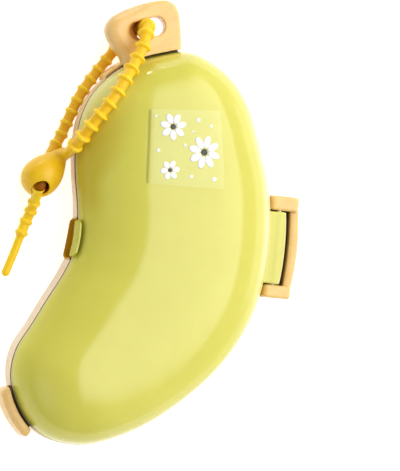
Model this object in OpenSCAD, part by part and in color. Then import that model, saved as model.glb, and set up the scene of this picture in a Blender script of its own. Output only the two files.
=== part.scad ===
// Banana-shaped hard travel case for a child's toothbrush.
// The case lies on its back: +Z points out of the lid, +Y towards the stem,
// and the hinge is on the +X side. Millimetres throughout.

/* [Shells] */
// Height of the domed lid above the seam
lid_height = 24; // [20:0.5:26]
// Depth of the back shell below the seam
base_depth = 16; // [15:0.5:18]
// Wall thickness of both shells
wall = 1.8; // [1.4:0.1:2.2]
// Gap left between the two rims when shut
seam_gap = 0.3; // [0.2:0.05:0.5]
// Fullness of the lid's dome (2 is an ellipse, higher is squarer)
dome_power = 2.4; // [2:0.1:3]
// Height of the locating lip inside the lid's rim
lip_height = 1.2; // [0.8:0.1:1.6]

/* [Hinge] */
// Diameter of the steel hinge pin
pin_d = 2; // [1.6:0.1:2.2]
// Outer diameter of the barrel on the lid's leaf
barrel_d = 4.6; // [4.2:0.1:4.8]
// Radial running clearance of the pin in the lid's barrel
pin_clearance = 0.08; // [0.04:0.01:0.1]
// Width of each bracket arm along the pin
arm_w = 5.7; // [5:0.1:6]
// Angle of the hinge axis from the case's long axis
hinge_tilt = 6; // [5:0.5:7]

/* [Stem and tip] */
// Thickness of the stem plate
stem_t = 12; // [11:0.5:12.5]
// Radius of the ends of the slot for the strap
slot_r = 4.1; // [3.9:0.1:4.4]
// Clearance between the lid's edge and the stem or tip
edge_gap = 0.7; // [0.5:0.1:1]
// How far the tip stands out from the lid's edge
tip_w = 5.6; // [5:0.1:6.4]

/* [Snap tab] */
// Thickness of the snap tab
tab_t = 0.9; // [0.8:0.1:1.5]
// Clearance between the tab and the lid's wall
tab_gap = 0.4; // [0.35:0.05:0.5]
// Depth of the finger recess in the back shell
recess_depth = 2.2; // [2:0.1:2.4]

/* [Inside] */
// Inner diameter of the two brush clips
clip_d = 10.4; // [9:0.2:11]
// Length of each brush clip along the handle
clip_len = 8; // [6:0.5:10]

/* [Strap] */
// Diameter of the strap's core between its beads
strap_d = 5; // [4.6:0.1:5.2]
// Greatest diameter of the sliding bulb
bulb_d = 17; // [16:0.5:18]

/* [Hidden] */

// The origin is the middle of the resting case: the drawing is shifted onto it.
shift = [0, -0.4, 0];

orange = [0.97, 0.80, 0.52];
lemon = [0.92, 0.90, 0.50];
strap_yellow = [0.98, 0.76, 0.16];
steel = [0.75, 0.76, 0.78];

// ---- outline of the seam: pairs of left and right edge points, stem end first ----
left = [[15, 75.5], [4.5, 74], [-5.5, 71.5], [-16, 66], [-25.5, 57.5], [-31.5, 46.5],
    [-33.9, 34], [-34.2, 21], [-33.2, 8], [-33.3, -4], [-35.6, -14.2], [-40.4, -23.4],
    [-47.4, -33.8], [-54.4, -44.8], [-60.9, -54.5], [-63.4, -66], [-61.1, -77.4], [-55.4, -87],
    [-46.1, -94]];
right = [[24.5, 72.4], [34.6, 65.2], [40.5, 57.6], [44.7, 49.8], [47.9, 41], [50.8, 30],
    [53.4, 19], [54.5, 6.5], [54.1, -9.5], [51.5, -25.6], [46.5, -40.4], [37.8, -55],
    [26.2, -67.9], [11.8, -79.4], [-3.4, -88.6], [-18.9, -94.6], [-32.4, -96.8]];
// ---- middle line of the dome, from the centre of the stem end to that of the tip end ----
spine = [[8.5, 43], [9, 31.5], [10, 20], [10.5, 7.5], [10, -6], [7, -19], [1.5, -31],
    [-6.5, -43], [-16.5, -55], [-29, -66]];
first = 5;   // station where the middle line starts

control = concat(left, [for (i = [len(right) - 1 : -1 : 0]) right[i]]);
nc = len(control);
sub = 2;
nr = nc * sub;
half = nr / 2;

function spline(a, b, c, d, t) =
    0.5 * (2 * b + (c - a) * t + (2 * a - 5 * b + 4 * c - d) * t * t
    + (3 * b - a - 3 * c + d) * t * t * t);
function ring_pt(i) = let (k = floor(i / sub), t = i / sub - k)
    spline(control[(k + nc - 1) % nc], control[k % nc], control[(k + 1) % nc],
        control[(k + 2) % nc], t);
function pick(v, k) = v[max(0, min(len(v) - 1, k))];
function line_pt(v, u) = let (w = max(0, min(len(v) - 1, u)), k = min(len(v) - 2, floor(w)), t = w - k)
    spline(pick(v, k - 1), pick(v, k), pick(v, k + 1), pick(v, k + 2), t);

outline = [for (i = [0 : nr - 1]) ring_pt(i)];
station = [for (i = [0 : nr - 1]) i <= half ? i : nr - i];
s_first = first * sub;
s_last = (first + len(spine) - 1) * sub;
n_ridge = s_last - s_first + 1;
ridge = [for (m = [0 : n_ridge - 1]) line_pt(spine, m / sub)];
ridge_of = [for (i = [0 : nr - 1]) max(s_first, min(s_last, station[i])) - s_first];

// The back shell's side stands straighter along the hollow of the banana
function ease(a, b, x) = let (t = max(0, min(1, (x - a) / (b - a)))) t * t * (3 - 2 * t);
fuller = [for (i = [0 : nr - 1]) let (u = i / sub)
    0.7 * ease(8.8, 10.6, u) * (1 - ease(13.4, 15.8, u)) + 0.3 * ease(1.5, 3.5, u) * (1 - ease(5.5, 7.5, u))];
// and its foot stands back where the strap's rear leg passes
under = [for (i = [0 : nr - 1]) let (u = i / sub) 0.16 * ease(1, 2.5, u) * (1 - ease(7.2, 8.4, u))];

// A ring of the shell: the outline drawn towards the middle line by a factor, then inset
function ring(c, inset, z) = [for (i = [0 : nr - 1])
    let (s = ridge[ridge_of[i]], v = outline[i] - s,
        f = z < seam ? 1 - (1 - c) * (1 - fuller[i]) : c,
        foot = inset + under[i] * pow(max(0, 8 - z), 1.5), p = s + v * (f - foot / norm(v)))
    [p[0], p[1], z]];

// A closed skin through rings of [factor, inset, z], shut at both ends by the middle line
module skin(rows, z_a, z_b, flip) {
    n = len(rows);
    pts = concat([for (r = rows) each ring(r[0], r[1], r[2])],
        [for (p = ridge) [p[0], p[1], z_a]], [for (p = ridge) [p[0], p[1], z_b]]);
    a0 = n * nr;
    b0 = a0 + n_ridge;
    walls = [for (t = [0 : n - 2]) for (i = [0 : nr - 1])
        let (j = (i + 1) % nr, a = t * nr + i, b = t * nr + j, c = a + nr, d = b + nr)
        each [[a, b, d], [a, d, c]]];
    cap_a = [for (i = [0 : nr - 1])
        let (j = (i + 1) % nr, ra = a0 + ridge_of[i], rb = a0 + ridge_of[j])
        each (ra == rb ? [[ra, j, i]] : [[ra, rb, j], [ra, j, i]])];
    cap_b = [for (i = [0 : nr - 1])
        let (j = (i + 1) % nr, a = (n - 1) * nr + i, b = (n - 1) * nr + j,
            ra = b0 + ridge_of[i], rb = b0 + ridge_of[j])
        each (ra == rb ? [[a, b, ra]] : [[a, b, rb], [a, rb, ra]])];
    faces = concat(walls, cap_a, cap_b);
    polyhedron(pts, flip ? [for (f = faces) [f[2], f[1], f[0]]] : faces, convexity = 6);
}

seam = base_depth;
lid_z = seam + seam_gap;
lid_top = lid_z + lid_height;
steps = [80, 70, 60, 50, 40, 30, 20, 10];
function dome_c(a) = pow(cos(a), 2 / dome_power);
function dome_s(a) = pow(sin(a), 2 / dome_power);

module outline_2d(grow) {
    offset(delta = grow) polygon(outline);
}

// ---- back shell ----
base_out = [[0.78, 0, 0], [0.84, 0, 0.2], [0.9, 0, 1], [0.945, 0, 2.5], [0.972, 0, 4.5],
    [0.985, 0, 7], [0.992, 0, 10], [0.997, 0, 13]];
base_in = [[0.985, wall, 8], [0.95, wall, 4.6], [0.9, wall, 2.8], [0.82, wall, wall + 0.1],
    [0.76, wall, wall]];
module back_shell() {
    rows = concat(base_out,
        [[1, 0, seam], [1, wall + 0.4, seam], [1, wall + 0.4, seam + lip_height],
         [1, wall + 1.4, seam + lip_height], [1, wall + 1.4, seam - 2.5],
         [0.998, wall, seam - 4]],
        base_in);
    color(orange) translate(shift) difference() {
        union() {
            skin(rows, 0, wall, true);
            intersection() {
                translate([0, 0, 3]) linear_extrude(seam - 3.1) difference() {
                    outline_2d(-1.2);
                    outline_2d(-recess_depth - 1.6);
                }
                translate([-50, -18, 0]) cube([25, 22.5, seam]);
            }
            // rim that stands out round the recess
            intersection() {
                translate([0, 0, 4.4]) linear_extrude(seam - 4.8) difference() {
                    union() {
                        outline_2d(1);
                        // its outer face is nearly flat across the hollow of the wall
                        polygon([[-34.1, 2.5], [-35, -4], [-35.9, -8.5], [-37.2, -15.6], [-33, -16], [-32, 2.5]]);
                    }
                    outline_2d(-1.4);
                }
                translate([-50, -16, 0]) cube([25, 18.5, seam]);
            }
        }
        intersection() {
            translate([0, 0, 5.8]) linear_extrude(seam) difference() {
                outline_2d(3);
                outline_2d(-recess_depth);
            }
            translate([-50, -15, 0]) cube([25, 16.5, 2 * seam]);
            // the ends of the recess are rounded
            translate([-50, -6.75, 9.6]) rotate([0, 90, 0]) union() {
                for (y = [-5.25, 5.25]) translate([0.8, y, 0]) cylinder(r = 3, h = 25, $fn = 32);
                translate([-12, -8.25, 0]) cube([12.8, 16.5, 25]);
                translate([-2, -5.25, 0]) cube([5.8, 10.5, 25]);
            }
        }
    }
}

// ---- lid ----
module front_lid() {
    rows = concat([for (a = steps) [dome_c(a), 0, lid_z + lid_height * dome_s(a)]],
        [[1, 0, lid_z], [1, wall, lid_z]],
        [for (i = [len(steps) - 1 : -1 : 0]) let (a = steps[i])
            [dome_c(a), wall, lid_z + (lid_height - wall) * dome_s(a)]]);
    color(lemon) translate(shift) skin(rows, lid_top, lid_top - wall, false);
}

// ---- hinge ----
hinge_pos = [57.7, -10.5, seam + 2];
arm_in = 16.9;
module at_hinge() {
    translate(hinge_pos) rotate([0, 0, -hinge_tilt]) children();
}
// bowed strip, its edges drawn as arcs: half length, edge at the ends, extra in the middle
function bow(h, u, e) = [for (i = [-6 : 6]) let (y = h * i / 6) [u + e * (1 - i * i / 36), y]];

module arm(y0, y1, near, root) {
    translate([0, y1, 0]) rotate([90, 0, 0]) linear_extrude(y1 - y0) union() {
        translate([near + 2, -9]) square([4.6 - near, 11.2]);
        translate([near, -9]) square([8.6 - near, 9.2]);
        translate([near + 2, 0.2]) circle(r = 2, $fn = 32);
        translate([6.6, 0.2]) circle(r = 2, $fn = 32);
        translate([root, -9]) square([near - root + 1, 6.6]);
    }
}
module hinge_bracket() {
    color(orange) translate(shift) difference() {
        union() {
            at_hinge() {
                arm(arm_in - 0.8, arm_in + arm_w, -4.4, -6.4);
                arm(-arm_in - arm_w, -arm_in, -4.1, -7.3);
                translate([0, 0, -9]) linear_extrude(9)
                    polygon(concat(bow(18, 8.9, 1.5), [for (i = [12 : -1 : 0]) bow(18, 4.5, 1)[i]]));
            }
            // web between the arms, behind the lid's leaf
            difference() {
                at_hinge() translate([-4, -17.5, -9]) cube([10, 35, 2.2]);
                translate([0, 0, 5]) linear_extrude(10) outline_2d(0.1);
            }
        }
        at_hinge() translate([0, arm_in + arm_w - 1, 0]) rotate([90, 0, 0])
            cylinder(d = pin_d, h = 2 * (arm_in + arm_w - 1), $fn = 48);
    }
}

module lid_hinge_leaf() {
    low = -arm_in + 0.5;
    len = 2 * arm_in - 2;
    color(lemon) translate(shift) difference() {
        union() {
            at_hinge() translate([0, low, 0]) rotate([-90, 0, 0])
                cylinder(d = barrel_d, h = len, $fn = 64);
            difference() {
                at_hinge() translate([0, low + len / 2, -1.4]) linear_extrude(barrel_d / 2 + 1.4)
                    polygon(concat(bow(len / 2, 2.6, 1), [[-9, len / 2], [-9, -len / 2]]));
                translate([0, 0, lid_z - 5]) linear_extrude(15) outline_2d(-1.3);
            }
        }
        at_hinge() translate([0, low - 1, 0]) rotate([-90, 0, 0])
            cylinder(r = pin_d / 2 + pin_clearance, h = len + 2, $fn = 64);
    }
}

module hinge_pin() {
    color(steel) translate(shift) at_hinge() rotate([90, 0, 0])
        translate([0, 0, -(arm_in + arm_w - 1)])
            cylinder(d = pin_d, h = 2 * (arm_in + arm_w - 1), $fn = 48);
}

// ---- stem with its slot, standing on the back shell ----
stem_z = 10;
stem_shape = [[-11.5, 66], [-14, 72.2], [-18, 77.6], [-20.3, 82.5], [-20.2, 86], [-17.6, 89.8],
    [-7, 94.9], [4, 97.6], [7.5, 97.2], [10.4, 95], [11.8, 91.5], [12.5, 86.5], [12.9, 70]];
slot_a = [-8, 83.5];
slot_b = [1, 86];
module stem_loop() {
    color(orange) translate(shift) difference() {
        union() {
            translate([0, 0, stem_z]) linear_extrude(stem_t)
                offset(r = 1.5, $fn = 24) offset(delta = -1.5) polygon(stem_shape);
            // foot of the stem, along the back shell's wall
            translate([0, 0, 5]) linear_extrude(seam - 5.4) intersection() {
                outline_2d(1.6);
                polygon([[-20, 60], [-20, 74], [13, 82], [13, 66]]);
            }
        }
        translate([0, 0, seam - 0.3]) linear_extrude(20) outline_2d(edge_gap);
        translate([0, 0, -1]) linear_extrude(40) outline_2d(-1.1);
        linear_extrude(40) hull() for (p = [slot_a, slot_b]) translate(p) circle(r = slot_r, $fn = 64);
    }
}

// ---- tip at the other end ----
module end_tip() {
    color(orange) translate(shift) difference() {
        translate([0, 0, 8]) linear_extrude(11.5) offset(r = 1.2, $fn = 24) offset(delta = -1.2)
            intersection() {
                outline_2d(tip_w);
                polygon([[-40, -63.3], [-80, -75.8], [-80, -110], [-59.2, -102.5], [-51, -80]]);
            }
        translate([0, 0, seam - 0.3]) linear_extrude(20) outline_2d(edge_gap + 0.7);
        translate([0, 0, -1]) linear_extrude(40) outline_2d(-1.2);
    }
}

// ---- snap tab on the lid's edge, hanging in the recess of the back shell ----
module snap_tab() {
    color(lemon) translate(shift) union() {
        intersection() {
            translate([0, 0, seam - 0.6]) linear_extrude(9.4) difference() {
                outline_2d(tab_gap + tab_t);
                outline_2d(tab_gap);
            }
            translate([-50, -6.75, seam - 0.6]) rotate([0, 90, 0]) union() {
                for (y = [-5.35, 5.35]) translate([-6.9, y, 0]) cylinder(r = 2.5, h = 25, $fn = 32);
                for (y = [-5.35, 5.35]) translate([-2.5, y, 0]) cylinder(r = 2.5, h = 25, $fn = 32);
                translate([-9.4, -5.35, 0]) cube([9.4, 10.7, 25]);
                translate([-6.9, -7.85, 0]) cube([4.4, 15.7, 25]);
            }
        }
        // detent rib near the lower edge
        intersection() {
            translate([0, 0, seam - 1.1]) linear_extrude(1) difference() {
                outline_2d(tab_gap + 0.5);
                outline_2d(-0.2);
            }
            translate([-50, -12, 0]) cube([25, 10, 30]);
        }
    }
}

// ---- clear printed film on the crown of the lid ----
module print_film() {
    film = [[-7.6, 49.2], [25.3, 48.8], [26.9, 14.6], [-9, 17]];
    rows_of = function (up) [for (a = steps) [dome_c(a), -up, lid_z + (lid_height + up) * dome_s(a)]];
    color([1, 1, 1, 0.5]) translate(shift) intersection() {
        translate([0, 0, lid_z + 8]) linear_extrude(30) offset(r = 1.5, $fn = 24)
            offset(delta = -1.5) polygon(film);
        difference() {
            skin(concat(rows_of(0.3), [[1, -0.3, lid_z]]), lid_top + 0.3, lid_z, false);
            skin(concat(rows_of(0.06), [[1, -0.06, lid_z - 1]]), lid_top + 0.06, lid_z - 1, false);
        }
    }
}

// ---- clips that hold the brush ----
module clip(at, turn) {
    translate([at[0], at[1], wall - 0.2]) rotate([0, 0, turn]) difference() {
        union() {
            translate([0, clip_len / 2, clip_d / 2 + 1.4]) rotate([90, 0, 0])
                cylinder(d = clip_d + 2.8, h = clip_len, $fn = 64);
            translate([-7, -clip_len / 2, 0]) cube([14, clip_len, 2]);
        }
        translate([0, clip_len / 2 + 1, clip_d / 2 + 1.4]) rotate([90, 0, 0])
            cylinder(d = clip_d, h = clip_len + 2, $fn = 64);
        translate([-4.4, -clip_len, clip_d / 2 + 3]) cube([8.8, 2 * clip_len, 20]);
    }
}
module brush_clip_upper() {
    color(orange) translate(shift) clip([2, 36], -18);
}
module brush_clip_lower() {
    color(orange) translate(shift) clip([-22, -38], -18);
}

// ---- strap: one beaded cord with a sliding bulb ----
route = [[-41.5, 26, 8.5], [-39, 29.5, 9], [-37.8, 29.8, 13.2], [-37.6, 31, 18.6],
    [-36.5, 33.6, 24.4], [-34.2, 37.6, 29], [-31.6, 41.8, 31.8], [-28.2, 46.6, 34],
    [-24.6, 51.3, 35.6], [-20.7, 56.5, 36], [-17.2, 61.8, 35.2], [-13.3, 67.1, 32.8],
    [-9.7, 72.4, 30.6], [-7.1, 77.1, 29.2], [-5.4, 82, 27.6], [-3.3, 85.6, 22.8],
    [-2.6, 85.5, 16.5], [-3.4, 84.9, 10.8], [-7.6, 82, 6], [-10.5, 78.1, 3.9],
    [-13.7, 74.6, 3.5], [-17.2, 70.4, 3.4], [-21, 65.9, 3.4], [-24.8, 61, 3.4],
    [-28.2, 55.9, 3.4], [-31, 50.8, 3.4], [-33.5, 45.6, 3.4], [-35.8, 40.8, 3.5],
    [-38.4, 36.1, 4.4], [-42.1, 31.1, 6.6], [-46.4, 23.4, 9.6], [-48.2, 19, 12.6],
    [-49.4, 15.6, 14], [-50, 15.6, 13.6], [-49.9, 13, 11.6], [-50.4, 8.7, 7.6],
    [-51.5, 4.2, 4.8], [-53.1, 0.1, 3.6], [-54.9, -4.6, 3.2], [-56.1, -8.1, 2.7],
    [-58.7, -14.8, 2.2], [-62.35, -23.25, 2]];
function unit(v) = v / norm(v);
path = [for (i = [0 : 2 * (len(route) - 1)]) line_pt(route, i / 2)];
np = len(path);
tang = [for (i = [0 : np - 1]) unit(path[min(np - 1, i + 1)] - path[max(0, i - 1)])];
function carry(i) = i == 0 ? unit(cross(tang[0], [0, 0, 1])) : let (n = carry(i - 1))
    unit(n - (n * tang[i]) * tang[i]);
module strap_cord() {
    sides = 8;
    plain = np - 7;
    pts = [for (i = [0 : np - 1]) let (n = carry(i), b = cross(tang[i], n),
            r = i > plain ? 1.9 : strap_d / 2)
        for (k = [0 : sides - 1]) let (a = 360 * k / sides) path[i] + r * (cos(a) * n + sin(a) * b)];
    faces = concat([for (i = [0 : np - 2]) for (k = [0 : sides - 1])
            let (k2 = (k + 1) % sides, a = i * sides + k, b = i * sides + k2)
            each [[a, b, b + sides], [a, b + sides, a + sides]]],
        [[for (k = [sides - 1 : -1 : 0]) k]],
        [[for (k = [0 : sides - 1]) (np - 1) * sides + k]]);
    color(strap_yellow) translate(shift) polyhedron(pts, [for (f = faces) [for (i = [len(f) - 1 : -1 : 0]) f[i]]],
        convexity = 10);
}
module strap_bulb() {
    r = bulb_d / 2;
    color(strap_yellow) translate(shift) translate([-46.5, 21, r + 0.2]) rotate([0, 0, -47])
        rotate([-90, 0, 0]) rotate_extrude($fn = 48)
            polygon(concat([[0, -10.5]], [for (a = [-80 : 10 : 80]) let (c = cos(a), s = sin(a))
                [r * c * (1 - 0.12 * s), 10.5 * s]], [[0, 10.5]]));
}

back_shell();
front_lid();
hinge_bracket();
lid_hinge_leaf();
hinge_pin();
stem_loop();
end_tip();
snap_tab();
print_film();
brush_clip_upper();
brush_clip_lower();
strap_cord();
strap_bulb();
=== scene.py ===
import math
import bpy
import bmesh
import numpy as np
from mathutils import Vector, Matrix
from mathutils.bvhtree import BVHTree


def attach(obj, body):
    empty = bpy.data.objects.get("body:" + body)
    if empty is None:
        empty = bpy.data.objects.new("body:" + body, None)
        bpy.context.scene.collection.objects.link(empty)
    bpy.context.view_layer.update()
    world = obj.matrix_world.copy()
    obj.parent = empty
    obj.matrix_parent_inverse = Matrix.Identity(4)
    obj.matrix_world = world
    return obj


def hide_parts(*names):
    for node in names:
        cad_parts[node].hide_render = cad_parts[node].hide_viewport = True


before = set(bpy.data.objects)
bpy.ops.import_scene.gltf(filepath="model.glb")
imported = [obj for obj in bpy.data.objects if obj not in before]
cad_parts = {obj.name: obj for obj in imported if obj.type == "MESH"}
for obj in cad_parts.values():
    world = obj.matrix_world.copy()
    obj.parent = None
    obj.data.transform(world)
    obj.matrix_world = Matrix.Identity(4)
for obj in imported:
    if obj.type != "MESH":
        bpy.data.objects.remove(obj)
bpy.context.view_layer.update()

SHIFT = np.array([0.0, -0.4, 0.0])      # the drawing's frame, in mm, to the row frame
SEAM = 16.0
LID_Z = 16.3
LID_H = 24.0
POWER = 2.4
WALL = 1.8


def row(p):
    return (np.asarray(p, float) + SHIFT) / 1000.0


# ---------------------------------------------------------------- camera
TILT = math.radians(18)
back = Vector((-math.sin(TILT), 0, math.cos(TILT)))
up = Vector((0, 1, 0))
right = up.cross(back)
LENS = 320.0
DIST = 0.2072 * LENS / 36.0
target = Vector((0.0231, -0.0059, 0.016))
cam_data = bpy.data.cameras.new("camera")
cam_data.lens = LENS
cam_data.sensor_width = 36.0
cam_data.clip_end = 50.0
cam = bpy.data.objects.new("camera", cam_data)
bpy.context.scene.collection.objects.link(cam)
m = Matrix((right, up, back)).transposed().to_4x4()
m.translation = target + back * DIST
cam.matrix_world = m
bpy.context.scene.camera = cam


# ---------------------------------------------------------------- mesh helpers
def new_object(name, points, faces, body, material=None, smooth=True, merge=0.0, tidy=True):
    """Mesh object from points in drawing mm, riding on a body."""
    mesh = bpy.data.meshes.new(name)
    mesh.from_pydata([tuple(p) for p in row(points)], [], [tuple(int(i) for i in f) for f in faces])
    bm = bmesh.new()
    bm.from_mesh(mesh)
    if merge:
        bmesh.ops.remove_doubles(bm, verts=bm.verts, dist=merge / 1000.0)
        bmesh.ops.dissolve_degenerate(bm, edges=bm.edges, dist=1e-7)
    if tidy:
        bmesh.ops.recalc_face_normals(bm, faces=bm.faces)
    bm.to_mesh(mesh)
    bm.free()
    if smooth:
        mesh.polygons.foreach_set("use_smooth", [True] * len(mesh.polygons))
    mesh.update()
    o = bpy.data.objects.new(name, mesh)
    bpy.context.scene.collection.objects.link(o)
    if material is not None:
        mesh.materials.append(material)
    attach(o, body)
    return o


def catmull(a, b, c, d, t):
    return 0.5 * (2 * b + (c - a) * t + (2 * a - 5 * b + 4 * c - d) * t * t + (3 * b - a - 3 * c + d) * t ** 3)


def curve_through(points, per):
    """Catmull-Rom curve through points, per samples an interval."""
    p = np.asarray(points, float)
    n = len(p)
    out = []
    for i in range(n - 1):
        a, b, c, d = p[max(0, i - 1)], p[i], p[i + 1], p[min(n - 1, i + 2)]
        for k in range(per):
            out.append(catmull(a, b, c, d, k / per))
    out.append(p[-1])
    return np.array(out)


def even(points, step):
    """The same line with even spacing."""
    seg = np.linalg.norm(np.diff(points, axis=0), axis=1)
    s = np.concatenate([[0], np.cumsum(seg)])
    n = max(2, int(round(s[-1] / step)) + 1)
    t = np.linspace(0, s[-1], n)
    return np.stack([np.interp(t, s, points[:, k]) for k in range(3)], 1), t


def smoothstep(a, b, x):
    t = np.clip((np.asarray(x, float) - a) / (b - a), 0, 1)
    return t * t * (3 - 2 * t)


# ---------------------------------------------------------------- outline of the seam
LEFT = [(15, 75.5), (4.5, 74), (-5.5, 71.5), (-16, 66), (-25.5, 57.5), (-31.5, 46.5), (-33.9, 34), (-34.2, 21),
        (-33.2, 8), (-33.3, -4), (-35.6, -14.2), (-40.4, -23.4), (-47.4, -33.8), (-54.4, -44.8), (-60.9, -54.5),
        (-63.4, -66), (-61.1, -77.4), (-55.4, -87), (-46.1, -94)]
RIGHT = [(24.5, 72.4), (34.6, 65.2), (40.5, 57.6), (44.7, 49.8), (47.9, 41), (50.8, 30), (53.4, 19), (54.5, 6.5),
         (54.1, -9.5), (51.5, -25.6), (46.5, -40.4), (37.8, -55), (26.2, -67.9), (11.8, -79.4), (-3.4, -88.6),
         (-18.9, -94.6), (-32.4, -96.8)]
SPINE = [(8.5, 43), (9, 31.5), (10, 20), (10.5, 7.5), (10, -6), (7, -19), (1.5, -31), (-6.5, -43), (-16.5, -55), (-29, -66)]
FIRST = 5
PER = 48                                # samples an interval of the outline

control = np.array(LEFT + RIGHT[::-1], float)
NC = len(control)


def blur(v, sigma):
    """Gaussian blur of a closed row of points."""
    r = int(4 * sigma)
    w = np.exp(-0.5 * (np.arange(-r, r + 1) / sigma) ** 2)
    w /= w.sum()
    return sum(wi * np.roll(v, -k, axis=0) for k, wi in zip(range(-r, r + 1), w))


_u = np.arange(NC * PER) / PER
_k = np.floor(_u).astype(int)
_t = (_u - _k)[:, None]
OUT = catmull(control[(_k - 1) % NC], control[_k % NC], control[(_k + 1) % NC], control[(_k + 2) % NC], _t)
OUT = OUT + (OUT - blur(OUT, 0.34 * PER))
OUT = blur(OUT, 0.34 * PER)
_half = NC / 2
_st = np.where(_u <= _half, _u, NC - _u)
sp = curve_through([(x, y, 0) for x, y in SPINE], PER)[:, :2]
_si = np.clip(np.round((_st - FIRST) * PER).astype(int), 0, len(sp) - 1)
MID = blur(sp[_si], 0.9 * PER)

# the outline is sampled every 1/12 interval, and finer beside the finger recess
keep = []
for i in range(NC * PER):
    st = _st[i]
    if i % 4 == 0 or 7.6 <= st <= 10.6:
        keep.append(i)
keep = np.array(keep)
O = OUT[keep]
S = MID[keep]
NR = len(keep)
V = O - S
VN = np.linalg.norm(V, axis=1)[:, None]
U = _u[keep]
FULL = (0.7 * smoothstep(8.8, 10.6, U) * (1 - smoothstep(13.4, 15.8, U))
        + 0.3 * smoothstep(1.5, 3.5, U) * (1 - smoothstep(5.5, 7.5, U)))


UNDER = 0.16 * smoothstep(1, 2.5, U) * (1 - smoothstep(7.2, 8.4, U))   # the foot stands back beside the strap


def low(c):
    """Share of the way out for the back shell: its left side stands fuller along the hollow."""
    return 1 - (1 - c) * (1 - FULL)


def ring(c, inset, z):
    """Ring of points: the outline drawn to the middle line by c, then inset; inset and z may vary round it."""
    inset = np.broadcast_to(np.asarray(inset, float), (NR,))[:, None]
    c = np.broadcast_to(np.asarray(c, float), (NR,))[:, None]
    inset = inset + (UNDER * np.maximum(0, 8 - np.asarray(z, float)) ** 1.5)[:, None]
    p = S + V * (c - inset / VN)
    return np.column_stack([p, np.broadcast_to(np.asarray(z, float), (NR,))])


def skin(rows, cap_first=True, cap_last=True):
    """Points and faces through rings; the caps close on the middle line."""
    pts = np.concatenate(rows)
    faces = []
    n = len(rows)
    j = np.roll(np.arange(NR), -1)
    for t in range(n - 1):
        a = t * NR + np.arange(NR)
        b = t * NR + j
        faces += np.column_stack([a, b, b + NR, a + NR]).tolist()
    base = n * NR
    extra = []
    for use, r, z in ((cap_first, 0, rows[0][0, 2]), (cap_last, n - 1, rows[-1][0, 2])):
        if not use:
            continue
        extra.append(np.column_stack([S, np.full(NR, z)]))
        a = r * NR + np.arange(NR)
        b = r * NR + j
        c = base + np.arange(NR)
        d = base + j
        faces += np.column_stack([a, b, d, c]).tolist()
        base += NR
    return np.concatenate([pts] + extra), faces


def lid_row(a, h, z0, power=POWER):
    a = math.radians(a)
    return math.cos(a) ** (2 / power), z0 + h * math.sin(a) ** (2 / power)


# ---------------------------------------------------------------- materials
def nodes_of(mat):
    mat.use_nodes = True
    nt = mat.node_tree
    nt.nodes.clear()
    return nt, nt.nodes, nt.links


def add(nodes, kind, **values):
    n = nodes.new(kind)
    for k, v in values.items():
        setattr(n, k, v)
    return n


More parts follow.
